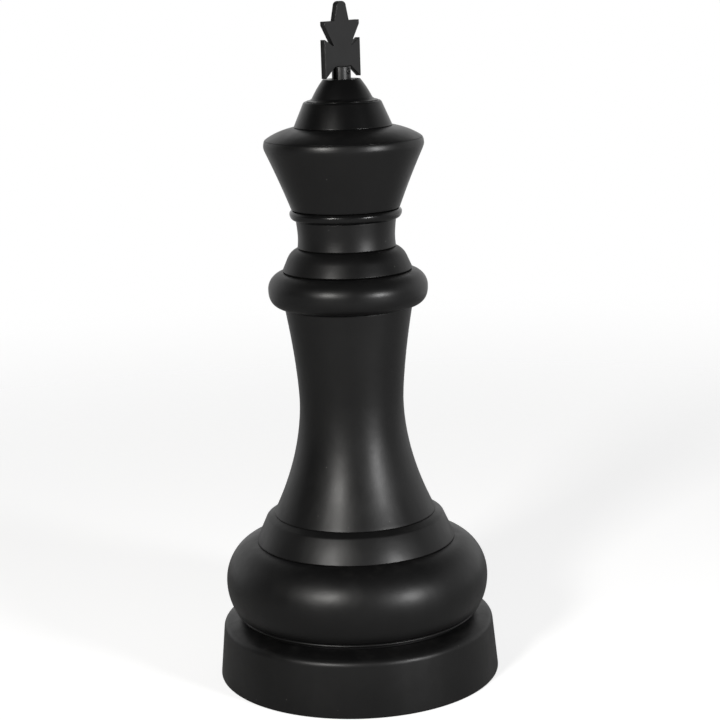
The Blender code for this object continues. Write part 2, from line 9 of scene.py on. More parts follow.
import bmesh
import bpy
from mathutils import Matrix, Vector, noise
from mathutils.geometry import delaunay_2d_cdt


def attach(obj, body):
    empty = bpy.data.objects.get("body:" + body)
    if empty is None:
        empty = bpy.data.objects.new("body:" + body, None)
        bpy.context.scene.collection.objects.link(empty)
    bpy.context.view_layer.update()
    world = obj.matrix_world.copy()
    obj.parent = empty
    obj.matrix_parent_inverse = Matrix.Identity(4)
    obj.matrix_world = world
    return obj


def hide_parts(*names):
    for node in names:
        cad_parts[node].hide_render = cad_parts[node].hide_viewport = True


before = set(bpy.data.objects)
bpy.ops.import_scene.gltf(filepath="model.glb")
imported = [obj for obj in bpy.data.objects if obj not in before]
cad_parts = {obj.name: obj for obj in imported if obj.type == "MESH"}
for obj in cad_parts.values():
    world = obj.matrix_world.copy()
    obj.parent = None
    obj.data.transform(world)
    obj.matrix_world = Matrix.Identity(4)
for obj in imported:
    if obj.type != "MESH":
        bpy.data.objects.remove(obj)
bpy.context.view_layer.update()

MM = 0.001
GAP = 0.3 * MM
STEPS = 144                 # sides of a turned section
WALL = 5 * MM
FOOT = 12 * MM              # width of the ring that a hollow section stands on

# Pairs are (radius, height).  An ellipse's size is (outwards, up, down).
# plinth and bulb
BASE_RADIUS = 193 * MM
PLINTH_SHOULDER = (185.7 * MM, 75 * MM)
PLINTH_ROUNDING = 7 * MM
PLINTH_TOP_RADIUS = 160.5 * MM
PLINTH_TOP = 82 * MM
PLINTH_FOOT_RADIUS = 181.3 * MM
PLINTH_FOOT_CHAMFER = 1.5 * MM
PLINTH_DRAFT = 0.1 * MM     # how far the side leans in at the top of the chamfer
PLINTH_LEDGE_RADIUS = 166 * MM
PLATE_TOP = 14 * MM
BULB_FOOT_RADIUS = 157 * MM
BULB_LIP = (165.6 * MM, 88.2 * MM)
BULB_CENTRE = (132.2 * MM, 134 * MM)
BULB_SIZE = (47.8 * MM, 55.2 * MM, 62 * MM)
BULB_TOP_ANGLE = 84.8
BULB_LIP_THICKNESS = 2.9 * MM
BULB_LIP_ANGLE = -40.2
BULB_LIP_CREASE = (2.4 * MM, 0.4 * MM)      # behind the lip's edge and above its top
BULB_LIP_OVERHANG = (0.9 * MM, 1.3 * MM)    # past the lip's edge and above its top
BULB_LIP_BEVEL = 0.9 * MM

# step collar and stem
STEP_BOTTOM_RADIUS = 136.1 * MM
STEP_EDGE = (121.8 * MM, 221.8 * MM)
STEP_EDGE_BEVEL = (1.5 * MM, 0.8 * MM, 1 * MM)     # inwards, above the edge, below the edge
STEP_TOP = 227.4 * MM
STEM_FOOT_RADIUS = 110.7 * MM
STEM_WAIST = (70.6 * MM, 383 * MM)
STEM_TOP = (86.1 * MM, 512.6 * MM)
STEM_FLARE_LOW = 1.93       # powers of the flare below and above the waist
STEM_FLARE_HIGH = 1.5

# collar under the head
RING_CENTRE = (83.3 * MM, 538 * MM)
RING_SIZE = (23.9 * MM, 22.6 * MM, 25 * MM)
RING_FULLNESS = 0.8         # below 1, the ring's lower half is fuller than an ellipse
RING_LAST_ANGLE = -87
DOME_BOTTOM_RADIUS = 86.9 * MM
DOME_SIDE_TOP = (80.3 * MM, 577.8 * MM)
DOME_SHOULDER = (74.9 * MM, 589.5 * MM)
DOME_TOP = (63.8 * MM, 591.9 * MM)
DOME_FOOT_BEVEL = (1.2 * MM, 1.6 * MM)

# head
NECK_WAIST = (65 * MM, 606 * MM)
NECK_LEAN = (614 * MM, 600 * MM)            # how far the waist's curve reaches, up and down
NECK_BOTTOM_RADIUS = 65.8 * MM
NECK_FOOT_BEVEL = (0.8 * MM, 1.2 * MM)
NECK_TOP = (67.1 * MM, 629.5 * MM)
BEAD_CENTRE = (68.1 * MM, 638.4 * MM)
BEAD_SIZE = (7 * MM, 5.2 * MM, 8.6 * MM)
BEAD_INNER_RADIUS = 50 * MM
CUP_BOTTOM_RADIUS = 72.4 * MM
CUP_WALL_SWELL = (86.6 * MM, 681.8 * MM)
CUP_WALL_TOP = (104.1 * MM, 720.3 * MM)
CUP_RIM_LEAN = (106.4 * MM, 725.4 * MM)
CUP_RIM = (106.4 * MM, 727.6 * MM)
CUP_TOP_LEAN = (106.4 * MM, 733.4 * MM)
CUP_TOP = (104.6 * MM, 735.9 * MM)
SHOULDER_EDGE = (100.8 * MM, 739 * MM)
SHOULDER_FOOT = (103.7 * MM, 737 * MM)
SHOULDER_SWELL = (86 * MM, 748.2 * MM)
SHOULDER_TOP = (65.6 * MM, 752 * MM)
LOWER_DOME_EDGE = (51.9 * MM, 783.4 * MM)
LOWER_DOME_TOP = (50.2 * MM, 785 * MM)
LOWER_DOME_INSET = 0.2 * MM
CAP_FLANGE = (47.4 * MM, 786 * MM)
CAP_FLANGE_TOP = (43 * MM, 787 * MM)
CAP_FOOT = (40 * MM, 789.2 * MM)
CAP_SWELL = (33.9 * MM, 801.8 * MM)
CAP_TOP = (24.7 * MM, 813.6 * MM)
CAP_RING = 14 * MM
CAP_WALL = 4 * MM
CAP_HOLE = 16 * MM
SPINE_HOLE = 21.5 * MM
HEAD_HOLE = 16.5 * MM

# finial
ROD_RADIUS = 12.5 * MM
ROD_BOTTOM = 745 * MM
ROD_TOP = 829.7 * MM
ROD_STEPS = 96
ROD_SOFTNESS = 0.9 * MM
RING_GROOVE = (11.2 * MM, 16.4 * MM, 14 * MM)   # its radius; bottom and top below the cap's top
CROSS_THICKNESS = 7.5 * MM
CROSS_BOTTOM = ROD_TOP + GAP
CROSS_TOP = 914 * MM
CROSS_EDGE = 0.5 * MM       # rounding of the plate's edges
CROSS_CORNER = 0.8 * MM     # and of its outline's corners
TANG_HALF_WIDTH = 9 * MM
TANG_BOTTOM = 812 * MM
SCREW_Z = 823.5 * MM
SCREW_BORE = 2.35 * MM
SCREW_SHANK = 2 * MM
SCREW_HEAD = 3.6 * MM
SCREW_HEAD_BEVEL = (0.6 * MM, 0.8 * MM)
SCREW_COUNTERBORE = 4 * MM
SCREW_REACH = (-9 * MM, 11.1 * MM, 13 * MM)     # shank's end, head's foot, head's top; from the axis
SCREW_SOCKET = (2.5 * MM, 11.6 * MM)            # across flats, and where its bottom lies
SCREW_STEPS = 48
SCREW_SOFTNESS = 0.3 * MM

# camera: where the photograph was taken from, round the object from the cross's front;
# metres and radians, the lens and the sensor in millimetres
CAMERA_TURN = math.radians(52)
CAMERA_DISTANCE = 2.4956
CAMERA_HEIGHT = 0.9676
CAMERA_PITCH = 0.2097
CAMERA_ROLL = -0.0306
CAMERA_YAW = 0.0052
CAMERA_LENS = 94.41
CAMERA_SENSOR = 36.0

# how corners are rounded
SHARPEST = math.radians(16)     # an outline's corner that turns by less is left alone
SIDE_SHARE = 0.42               # the most of a side that one rounding takes
PLATE_SIDE_SHARE = 0.45         # and the same on the cross
LEAST_ROUNDING = 0.05 * MM
CREASE = math.radians(32)       # an edge of a cut mesh that turns by more is shaded sharp

# how far the turned outsides wander, inwards only, so that none looks machined
WANDER = 0.25 * MM
WANDER_RADII = (30 * MM, 50 * MM)   # none within the first radius, all of it past the second
WANDER_SCALE = (14, 11)             # of its noise, across and upwards

# colours, linear
BLACK_DEEP = (0.0022, 0.0022, 0.0023)
BLACK_WORN = (0.0042, 0.0042, 0.0043)
DUST = (0.035, 0.034, 0.031)
SPECK = (0.12, 0.12, 0.115)

# Settings for mottled(): two tones, a range of roughness and a fine relief.  Patches, smears
# and grain are their noises, each (scale, detail, roughness) and sometimes a stretch.
PAINTED_STEEL = {
    "tones": ((0.0030, 0.0030, 0.0032), (0.0056, 0.0056, 0.0058)), "patches": (45, 4, 0.6),
    "gloss": (0.38, 0.47), "smears": (90, 4, 0.6),
    "relief": 0.04 * MM, "grain": (700, 3, 0.6), "ior": 1.46,
}
ZINC_STEEL = {
    "tones": ((0.30, 0.30, 0.29), (0.46, 0.45, 0.43)), "patches": (30, 5, 0.65),
    "gloss": (0.26, 0.42), "smears": (70, 4, 0.6, (1, 1, 0.1)),
    "relief": 0.03 * MM, "grain": (900, 2, 0.5, (1, 1, 0.03)), "metallic": 1.0,
}
BRIGHT_STEEL = {
    "tones": ((0.28, 0.28, 0.29), (0.42, 0.42, 0.43)), "patches": (60, 4, 0.6),
    "gloss": (0.22, 0.34), "smears": (140, 3, 0.6),
    "relief": 0.02 * MM, "grain": (1200, 2, 0.5), "metallic": 1.0,
}
WHITE_NYLON = {
    "tones": ((0.66, 0.65, 0.60), (0.76, 0.75, 0.71)), "patches": (50, 3, 0.5),
    "gloss": (0.42, 0.56), "smears": (120, 3, 0.5),
    "relief": 0.03 * MM, "grain": (800, 2, 0.5),
}
BLACK_NYLON = {**WHITE_NYLON, "tones": ((0.012, 0.012, 0.012), (0.020, 0.020, 0.020))}
CONCRETE = {
    "tones": ((0.30, 0.29, 0.27), (0.48, 0.47, 0.44)), "patches": (55, 8, 0.7),
    "gloss": (0.82, 0.95), "smears": (200, 4, 0.6),
    "relief": 0.6 * MM, "grain": (260, 6, 0.7),
    "pores": (160, (0.14, 0.135, 0.125)),
}

# CAD nodes that keep their shape: material slot, settings, nodes
INNER_NODES = (
    ("plated_steel", ZINC_STEEL, ("spine_tube", "spine_washer", "spine_nut", "head_tube",
                                  "head_washer", "head_nut", "base_plate")),
    ("fastener_steel", BRIGHT_STEEL, ("finial_retaining_ring",
                                      *(f"plate_screw_{k}" for k in range(1, 7)),
                                      *(f"flange_bolt_{k}" for k in range(1, 5)),
                                      *(f"flange_nut_{k}" for k in range(1, 5)))),
    ("nylon", WHITE_NYLON, ("spine_bush",)),
    ("nylon", BLACK_NYLON, ("finial_bush",)),
    ("concrete", CONCRETE, ("ballast_ring",)),
)
INNER_SEED = 40.0
INNER_SEED_STEP = 1.1

# floor
FLOOR_RADIUS = 9.0
FLOOR_RINGS = 24
FLOOR_STEPS = 96
FLOOR_Z = -0.2 * MM
FLOOR_ALBEDO = 0.45
FLOOR_GLOW = 0.72           # seen by the camera only, so it doesn't light the object
FLOOR_FADE = (0.8, 3.0)     # opaque within the first distance, gone past the second

# surroundings, by direction: a span runs along the camera's view, heights and horizon upwards
WORLD_FRONT = 0.07
WORLD_BACK = 1.0
WORLD_BELOW = 0.42
WORLD_BELOW_BACK = 0.9
WORLD_BACK_AZIMUTH = 170
BACKDROP_SPAN = (-0.12, 0.5)
BACKDROP_HEIGHTS = (0.35, 0.75)
GROUND_SPAN = (0.1, 0.7)
HORIZON = (-0.03, 0.0)

# softboxes: name, azimuth and elevation in degrees, height aimed at, power, colour
SOFTBOXES = (
    ("softbox_left", -28.4, 22.5, 0.43, 70, (1.0, 0.985, 0.955)),
    ("softbox_right", 45.5, 12.5, 0.38, 62, (1.0, 1.0, 1.0)),
)
SOFTBOX_DISTANCE = 3.0
SOFTBOX_SIZE = (0.45, 0.5)


# ---------------------------------------------------------------- outlines

def ellipse_arc(centre, size, start, end, count, fullness=1.0):
    """Points of an ellipse quarter; size is (outwards, upwards), angles in degrees."""
    points = []
    for k in range(count + 1):
        angle = math.radians(start + (end - start) * k / count)
        across = abs(math.cos(angle)) ** fullness
        along = math.copysign(abs(math.sin(angle)) ** fullness, math.sin(angle))
        points.append((centre[0] + size[0] * across, centre[1] + size[1] * along))
    return points


def swell(start, control, end, count):
    """Points of a quadratic curve from start to end that leans towards control."""
    points = []
    for k in range(count + 1):
        t = k / count
        weights = (1 - t) ** 2, 2 * t * (1 - t), t ** 2
        points.append(tuple(sum(w * p for w, p in zip(weights, along))
                            for along in zip(start, control, end)))
    return points


def rounded_corner(before, corner, after, reach, count):
    """A swell in place of a corner, from reach before it to reach after it."""
    start, end = [
        tuple(c + (s - c) * reach / math.dist(corner, side) for s, c in zip(side, corner))
        for side in (before, after)
    ]
    return swell(start, corner, end, count)


def corner_turn(before, corner, after):
    """How far an outline turns at a corner, in radians; anticlockwise is positive."""
    x0, z0 = corner[0] - before[0], corner[1] - before[1]
    x1, z1 = after[0] - corner[0], after[1] - corner[1]
    return math.atan2(x0 * z1 - z0 * x1, x0 * x1 + z0 * z1)


def soften(section, reach, count=5):
    """Rounds the sharp corners of a closed section; those on the axis stay."""
    made = []
    for k, corner in enumerate(section):
        before, after = section[k - 1], section[(k + 1) % len(section)]
        shorter = min(math.dist(before, corner), math.dist(corner, after))
        cut_back = min(reach, SIDE_SHARE * shorter)
        sharp = abs(corner_turn(before, corner, after)) > SHARPEST
        if sharp and corner[0] > 0 and cut_back > LEAST_ROUNDING:
            made += rounded_corner(before, corner, after, cut_back, count)
        else:
            made.append(corner)
    return made


def soften_plate(outline, radius, count=5):
    """Rounds an outline's sharp corners with arcs of one radius."""
    made = []
    for k, corner in enumerate(outline):
        before, after = outline[k - 1], outline[(k + 1) % len(outline)]
        turn = corner_turn(before, corner, after)
        corner = Vector(corner)
        if abs(turn) < SHARPEST:
            made.append(corner)
            continue
        first, second = corner - Vector(before), Vector(after) - corner
        shorter = min(first.length, second.length)
        cut_back = min(radius * math.tan(abs(turn) / 2), PLATE_SIDE_SHARE * shorter)
        bend = cut_back / math.tan(abs(turn) / 2)
        start = corner - first.normalized() * cut_back
        side = Vector((-first.y, first.x)).normalized() * math.copysign(bend, turn)
        centre = start + side
        made += [centre + Matrix.Rotation(turn * m / count, 2) @ -side for m in range(count + 1)]
    return made


def offset(outline, inset):
    """A closed outline moved inwards by inset, with mitred corners."""
    moved = []
    for k, here in enumerate(outline):
        before, after = Vector(outline[k - 1]), Vector(outline[(k + 1) % len(outline)])
        here = Vector(here)
        first, second = (here - before).normalized(), (after - here).normalized()
        n1, n2 = Vector((-first.y, first.x)), Vector((-second.y, second.x))
        moved.append(here + (n1 + n2) * (inset / (1 + n1.dot(n2))))
    return moved


def radius_at(outer, z):
    """Radius at height z of an outline that runs downwards."""
    for (r0, z0), (r1, z1) in zip(outer, outer[1:]):
        if z1 <= z <= z0 and z1 < z0:
            return r0 + (r1 - r0) * (z0 - z) / (z0 - z1)
    return outer[-1][0]


def hollow(outer, bore, foot=FOOT, wall=WALL):
    """Section of a shell: a deck on top, the outline down the outside, a foot ring and the inside."""
    top_z, bottom_z = outer[0][1], outer[-1][1]
    inner_top, inner_bottom = top_z - wall, bottom_z + wall
    inside = [(radius - wall, z) for radius, z in outer if inner_bottom < z < inner_top]
    upper = radius_at(outer, inner_top) - wall
    lower = radius_at(outer, inner_bottom) - wall
    foot_radius = outer[-1][0] - foot
    down = [(bore, top_z)] + outer + [(foot_radius, bottom_z), (foot_radius, inner_bottom)]
    up = [(lower, inner_bottom)] + inside[::-4] + [(upper, inner_top), (bore, inner_top)]
    return down + up


# ---------------------------------------------------------------- meshes

def add_object(name, data):
    made = bpy.data.objects.new(name, data)
    bpy.context.scene.collection.objects.link(made)
    return made


def smooth_object(name, verts, faces):
    """An object with smooth faces that all point outwards."""
    mesh = bpy.data.meshes.new(name)
    mesh.from_pydata(verts, [], faces)
    mesh.validate()
    shape = bmesh.new()
    shape.from_mesh(mesh)
    bmesh.ops.recalc_face_normals(shape, faces=shape.faces)
    shape.to_mesh(mesh)
    shape.free()
    for polygon in mesh.polygons:
        polygon.use_smooth = True
    return add_object(name, mesh)


def turned(name, section, steps=STEPS, closed=True, wander=0.0, seed=0.0):
    """Turns a section round Z.  wander is how far the outside dips, unevenly."""
    verts, rings = [], []
    still, full = WANDER_RADII
    across, upwards = WANDER_SCALE
    for radius, z in section:
        if radius < 1e-6:
            rings.append([len(verts)] * steps)
            verts.append((0, 0, z))
            continue
        rings.append(list(range(len(verts), len(verts) + steps)))
        share = min(1.0, max(0.0, (radius - still) / (full - still)))
        for k in range(steps):
            angle = 2 * math.pi * k / steps
            x, y = math.cos(angle), math.sin(angle)
            spot = Vector((x * radius * across + seed, y * radius * across - seed, z * upwards))
            dip = wander * share * (0.5 + 0.5 * noise.noise(spot))
            verts.append((x * (radius - dip), y * (radius - dip), z))
    faces = []
    count = len(rings)
    for j in range(count if closed else count - 1):
        a, b = rings[j], rings[(j + 1) % count]
        for k in range(steps):
            m = (k + 1) % steps
            corners = list(dict.fromkeys((a[k], a[m], b[m], b[k])))
            if len(corners) > 2:
                faces.append(corners)
    return smooth_object(name, verts, faces)


def bar_cutter(radius, start, end, sides=48):
    """A bar from start to end; radius is that of its corners."""
    start, end = Vector(start), Vector(end)
    mesh = bpy.data.meshes.new("cutter")
    shape = bmesh.new()
    bmesh.ops.create_cone(shape, cap_ends=True, segments=sides, radius1=radius, radius2=radius,
                          depth=(end - start).length)
    turn = (end - start).to_track_quat("Z", "Y").to_matrix().to_4x4()
    bmesh.ops.transform(shape, matrix=Matrix.Translation((start + end) / 2) @ turn, verts=shape.verts)
    shape.to_mesh(mesh)
    shape.free()
    return mesh


def box_cutter(low, high):
    """A box between two opposite corners."""
    mesh = bpy.data.meshes.new("cutter")
    shape = bmesh.new()
    bmesh.ops.create_cube(shape, size=1.0)
    for vertex in shape.verts:
        vertex.co = [a if c < 0 else b for a, b, c in zip(low, high, vertex.co)]
    shape.to_mesh(mesh)
    shape.free()
    return mesh


def cut(piece, meshes):
    """Takes the cutters out of the piece's mesh and leaves no modifier behind."""
    helpers = []
    for mesh in meshes:
        helper = add_object("cutter", mesh)
        knife = piece.modifiers.new("cut", "BOOLEAN")
        knife.operation = "DIFFERENCE"
        knife.solver = "EXACT"
        knife.object = helper
        helpers.append(helper)
    bpy.context.view_layer.update()
    seen = piece.evaluated_get(bpy.context.evaluated_depsgraph_get())
    made = bpy.data.meshes.new_from_object(seen)
    piece.modifiers.clear()
    piece.data = made
    for helper in helpers:
        bpy.data.objects.remove(helper)
    made.set_sharp_from_angle(angle=CREASE)


def plate(name, outline, thickness, edge, rounds=4):
    """A plate in the XZ plane with rounded edges; the outline runs anticlockwise."""
    angles = [math.pi / 2 * k / rounds for k in range(rounds + 1)]
    back = [(edge * (1 - math.cos(a)), thickness / 2 - edge * (1 - math.sin(a))) for a in angles]
    rims = [(inset, -depth) for inset, depth in back[::-1]] + back
    shape = bmesh.new()
    rings = [[shape.verts.new((p.x, depth, p.y)) for p in offset(outline, inset)]
             for inset, depth in rims]
    total = len(outline)
    for a, b in zip(rings, rings[1:]):
        for k in range(total):
            m = (k + 1) % total
            shape.faces.new((a[k], a[m], b[m], b[k])).smooth = True
    for ring in (rings[0], rings[-1]):
        flat = [Vector((vertex.co.x, vertex.co.z)) for vertex in ring]
        _, _, faces, origins, *_ = delaunay_2d_cdt(flat, [], [list(range(total))], 1, 1e-7)
        for corners in faces:
            shape.faces.new([ring[origins[k][0]] for k in corners]).smooth = False
    bmesh.ops.recalc_face_normals(shape, faces=shape.faces)
    mesh = bpy.data.meshes.new(name)
    shape.to_mesh(mesh)
    shape.free()
    return add_object(name, mesh)


# ---------------------------------------------------------------- materials

class Graph:
    """Adds shader nodes to one node tree."""

    def __init__(self, tree):
        self.tree = tree

    def add(self, kind, operation=None):
        node = self.tree.nodes.new(kind)
        if operation:
            node.operation = operation
        return node

    def put(self, socket, value):
        """Gives a socket another node's output, or a plain value."""
        if isinstance(value, bpy.types.NodeSocket):
            self.tree.links.new(value, socket)
        else:
            socket.default_value = value

    def span(self, value, low, high, start=0.0, end=1.0):
        """Maps low..high to start..end, smoothly and with the ends held."""
        node = self.add("ShaderNodeMapRange")
        node.interpolation_type = "SMOOTHSTEP"
        self.put(node.inputs["Value"], value)
        limits = {"From Min": low, "From Max": high, "To Min": start, "To Max": end}
        for name, number in limits.items():
            node.inputs[name].default_value = number
        return node.outputs["Result"]

    def math(self, operation, first, second):
        node = self.add("ShaderNodeMath", operation)
        self.put(node.inputs[0], first)
        self.put(node.inputs[1], second)
        return node.outputs[0]

    def axis(self, vector, name):
        node = self.add("ShaderNodeSeparateXYZ")
        self.put(node.inputs[0], vector)
        return node.outputs[name]

    def camera_ray(self):
        return self.add("ShaderNodeLightPath").outputs["Is Camera Ray"]

    def mix_shaders(self, share, first, second):
        node = self.add("ShaderNodeMixShader")
        for socket, value in zip(node.inputs, (share, first, second)):
            self.put(socket, value)
        return node.outputs[0]


class Look(Graph):
    """A Principled material whose textures read object coordinates."""

    def __init__(self, name, seed=0.0):
        self.material = bpy.data.materials.new(name)
        self.material.use_nodes = True
        super().__init__(self.material.node_tree)
        self.shader = self.tree.nodes["Principled BSDF"]
        self.seed = seed
        self.place = self.add("ShaderNodeTexCoord").outputs["Object"]

    def mapped(self, stretch=(1, 1, 1)):
        node = self.add("ShaderNodeMapping")
        self.put(node.inputs["Vector"], self.place)
        node.inputs["Location"].default_value = (self.seed, self.seed * 1.7, -self.seed)
        node.inputs["Scale"].default_value = stretch
        return node.outputs["Vector"]

    def noise(self, scale, detail, rough, stretch=(1, 1, 1)):
        node = self.add("ShaderNodeTexNoise")
        self.put(node.inputs["Vector"], self.mapped(stretch))
        for name, value in {"Scale": scale, "Detail": detail, "Roughness": rough}.items():
            node.inputs[name].default_value = value
        return node.outputs["Fac"]

    def cells(self, scale):
        node = self.add("ShaderNodeTexVoronoi")
        self.put(node.inputs["Vector"], self.mapped())
        node.inputs["Scale"].default_value = scale
        return node.outputs["Distance"], node.outputs["Color"]

    def facing_up(self):
        return self.axis(self.add("ShaderNodeNewGeometry").outputs["Normal"], "Z")

    def mix(self, share, first, second):
        """Mixes two colours, each a node's output or three numbers."""
        node = self.add("ShaderNodeMix")
        node.data_type = "RGBA"
        self.put(node.inputs[0], share)
        for socket, value in zip(node.inputs[6:8], (first, second)):
            self.put(socket, (*value, 1.0) if isinstance(value, tuple) else value)
        return node.outputs[2]

    def bump(self, height, depth, under=None):
        node = self.add("ShaderNodeBump")
        node.inputs["Strength"].default_value = 1.0
        node.inputs["Distance"].default_value = depth
        self.put(node.inputs["Height"], height)
        if under is not None:
            self.put(node.inputs["Normal"], under)
        return node.outputs["Normal"]

    def finish(self, colour, roughness, normal, metallic=0.0, ior=1.45):
        values = {"Base Color": colour, "Roughness": roughness, "Metallic": metallic,
                  "IOR": ior, "Normal": normal}
        for name, value in values.items():
            self.put(self.shader.inputs[name], value)
        return self.material


def satin_black(name, seed, roughness, ior):
    """Satin black coating: faint orange peel, drifting gloss, dust on the ledges and a few specks."""
    look = Look(name, seed)
    drift = look.noise(7, 3, 0.55)
    tone = look.mix(look.span(drift, 0.3, 0.7), BLACK_DEEP, BLACK_WORN)
    ledges = look.span(look.facing_up(), 0.6, 1.0)
    dust = look.math("MULTIPLY", ledges, look.span(look.noise(60, 5, 0.7), 0.45, 0.75))
    tone = look.mix(look.math("MULTIPLY", dust, 0.12), tone, DUST)
    distance, colour = look.cells(95)
    chosen = look.span(look.axis(colour, "X"), 0.95, 0.96)
    speck = look.math("MULTIPLY", look.span(distance, 0.10, 0.06), chosen)
    tone = look.mix(look.math("MULTIPLY", speck, 0.3), tone, SPECK)
    swing = (roughness - 0.035, roughness + 0.035)
    gloss = look.span(look.noise(16, 4, 0.6), 0.25, 0.75, *swing)
    gloss = look.math("ADD", gloss, look.math("MULTIPLY", dust, 0.06))
    streaks = look.span(look.noise(38, 4, 0.6, (1, 1, 0.12)), 0.35, 0.7, -0.015, 0.02)
    gloss = look.math("ADD", gloss, streaks)
    peel = look.bump(look.noise(330, 2, 0.5), 0.05 * MM)
    wave = look.bump(look.noise(24, 2, 0.5), 0.5 * MM, peel)
    return look.finish(tone, gloss, wave, ior=ior)


def mottled(name, seed, tones, patches, gloss, smears, relief, grain, pores=None, **surface):
    """A plain material from one of the settings above; pores are (scale, colour)."""
    look = Look(name, seed)
    tone = look.mix(look.span(look.noise(*patches), 0.3, 0.7), *tones)
    if pores:
        distance, _ = look.cells(pores[0])
        tone = look.mix(look.span(distance, 0.22, 0.1, 0.0, 0.55), tone, pores[1])
    roughness = look.span(look.noise(*smears), 0.3, 0.7, *gloss)
    return look.finish(tone, roughness, look.bump(look.noise(*grain), relief), **surface)


# ---------------------------------------------------------------- turned sections

def plinth_section():
    top_edge = (PLINTH_TOP_RADIUS, PLINTH_TOP)
    foot_edge = (BASE_RADIUS, 0)
    inner_wall = PLINTH_SHOULDER[0] - WALL
    ledge_bottom = PLATE_TOP + GAP
    section = [(SPINE_HOLE, PLINTH_TOP), top_edge]
    section += rounded_corner(top_edge, PLINTH_SHOULDER, foot_edge, PLINTH_ROUNDING, 12)
    section += [
        (BASE_RADIUS - PLINTH_DRAFT, PLINTH_FOOT_CHAMFER),
        (BASE_RADIUS - PLINTH_FOOT_CHAMFER, 0),
        (PLINTH_FOOT_RADIUS, 0),
        (PLINTH_FOOT_RADIUS, ledge_bottom),
        (PLINTH_LEDGE_RADIUS, ledge_bottom),
        (PLINTH_LEDGE_RADIUS, ledge_bottom + WALL),
        (BASE_RADIUS - 2 * WALL, ledge_bottom + WALL),
        (inner_wall, PLINTH_SHOULDER[1] - WALL),
        (PLINTH_TOP_RADIUS - WALL, PLINTH_TOP - WALL),
        (SPINE_HOLE, PLINTH_TOP - WALL),
    ]
    return section


def bulb_section():
    outwards, up, down = BULB_SIZE
    outer = ellipse_arc(BULB_CENTRE, (outwards, up), BULB_TOP_ANGLE, 0, 28)
    outer += ellipse_arc(BULB_CENTRE, (outwards, down), 0, BULB_LIP_ANGLE, 18)[1:]
    edge, bottom = BULB_LIP
    top = bottom + BULB_LIP_THICKNESS
    outer += [
        (edge + BULB_LIP_OVERHANG[0], top + BULB_LIP_OVERHANG[1]),
        (edge - BULB_LIP_CREASE[0], top + BULB_LIP_CREASE[1]),
        (edge - BULB_LIP_BEVEL, top),
        (edge, (bottom + top) / 2),
        (edge - BULB_LIP_BEVEL, bottom),
        (BULB_FOOT_RADIUS, bottom),
        (BULB_FOOT_RADIUS, PLINTH_TOP + GAP),
    ]
    return hollow(outer, SPINE_HOLE)


def bulb_top():
    return BULB_CENTRE[1] + BULB_SIZE[1] * math.sin(math.radians(BULB_TOP_ANGLE))


def step_section():
    inwards, above, below = STEP_EDGE_BEVEL
    outer = [
        (STEM_FOOT_RADIUS, STEP_TOP),
        (STEP_EDGE[0] - inwards, STEP_EDGE[1] + above),
        (STEP_EDGE[0], STEP_EDGE[1] - below),
        (STEP_BOTTOM_RADIUS, bulb_top() + GAP),
    ]
    return hollow(outer, SPINE_HOLE)


def stem_radius(z):
    """Radius of the stem, which flares by a power law both ways from its waist."""
    waist_radius, waist_z = STEM_WAIST
    if z < waist_z:
        reach = (waist_z - z) / (waist_z - STEP_TOP)
        return waist_radius + (STEM_FOOT_RADIUS - waist_radius) * reach ** STEM_FLARE_LOW
    reach = (z - waist_z) / (STEM_TOP[1] - waist_z)
    return waist_radius + (STEM_TOP[0] - waist_radius) * reach ** STEM_FLARE_HIGH


def stem_section():
    count = 60
    height = STEM_TOP[1] - STEP_TOP - GAP
    heights = [STEM_TOP[1] - height * k / count for k in range(count + 1)]
    return hollow([(stem_radius(z), z) for z in heights], SPINE_HOLE)


def ring_section():
    outwards, up, down = RING_SIZE
    outer = ellipse_arc(RING_CENTRE, (outwards, up), 90, 0, 22)
    outer += ellipse_arc(RING_CENTRE, (outwards, down), 0, RING_LAST_ANGLE, 22, RING_FULLNESS)[1:]
    return hollow(outer, SPINE_HOLE)


def dome_section():
    bottom = RING_CENTRE[1] + RING_SIZE[1] + GAP
    inwards, above = DOME_FOOT_BEVEL
    outer = swell(DOME_TOP, DOME_SHOULDER, DOME_SIDE_TOP, 24)
    outer += [(DOME_BOTTOM_RADIUS, bottom + above), (DOME_BOTTOM_RADIUS - inwards, bottom)]
    return hollow(outer, SPINE_HOLE)


def neck_section():
    inwards, above = NECK_FOOT_BEVEL
    foot = (NECK_BOTTOM_RADIUS, DOME_TOP[1] + above)
    outer = swell(NECK_TOP, (NECK_WAIST[0], NECK_LEAN[0]), NECK_WAIST, 16)
    outer += swell(NECK_WAIST, (NECK_WAIST[0], NECK_LEAN[1]), foot, 12)[1:]
    outer.append((NECK_BOTTOM_RADIUS - inwards, DOME_TOP[1] + GAP))
    return hollow(outer, HEAD_HOLE)


def bead_section():
    outwards, up, down = BEAD_SIZE
    section = [(BEAD_INNER_RADIUS, BEAD_CENTRE[1] + up)]
    section += ellipse_arc(BEAD_CENTRE, (outwards, up), 90, 0, 14)
    section += ellipse_arc(BEAD_CENTRE, (outwards, down), 0, -90, 16)[1:]
    section.append((BEAD_INNER_RADIUS, BEAD_CENTRE[1] - down))
    return section


def cup_section():
    bottom = BEAD_CENTRE[1] + BEAD_SIZE[1] + GAP
    outer = swell(CUP_TOP, CUP_TOP_LEAN, CUP_RIM, 14)
    outer += swell(CUP_RIM, CUP_RIM_LEAN, CUP_WALL_TOP, 14)[1:]
    outer += swell(CUP_WALL_TOP, CUP_WALL_SWELL, (CUP_BOTTOM_RADIUS, bottom), 16)[1:]
    return hollow(outer, CUP_TOP[0] - WALL - FOOT)


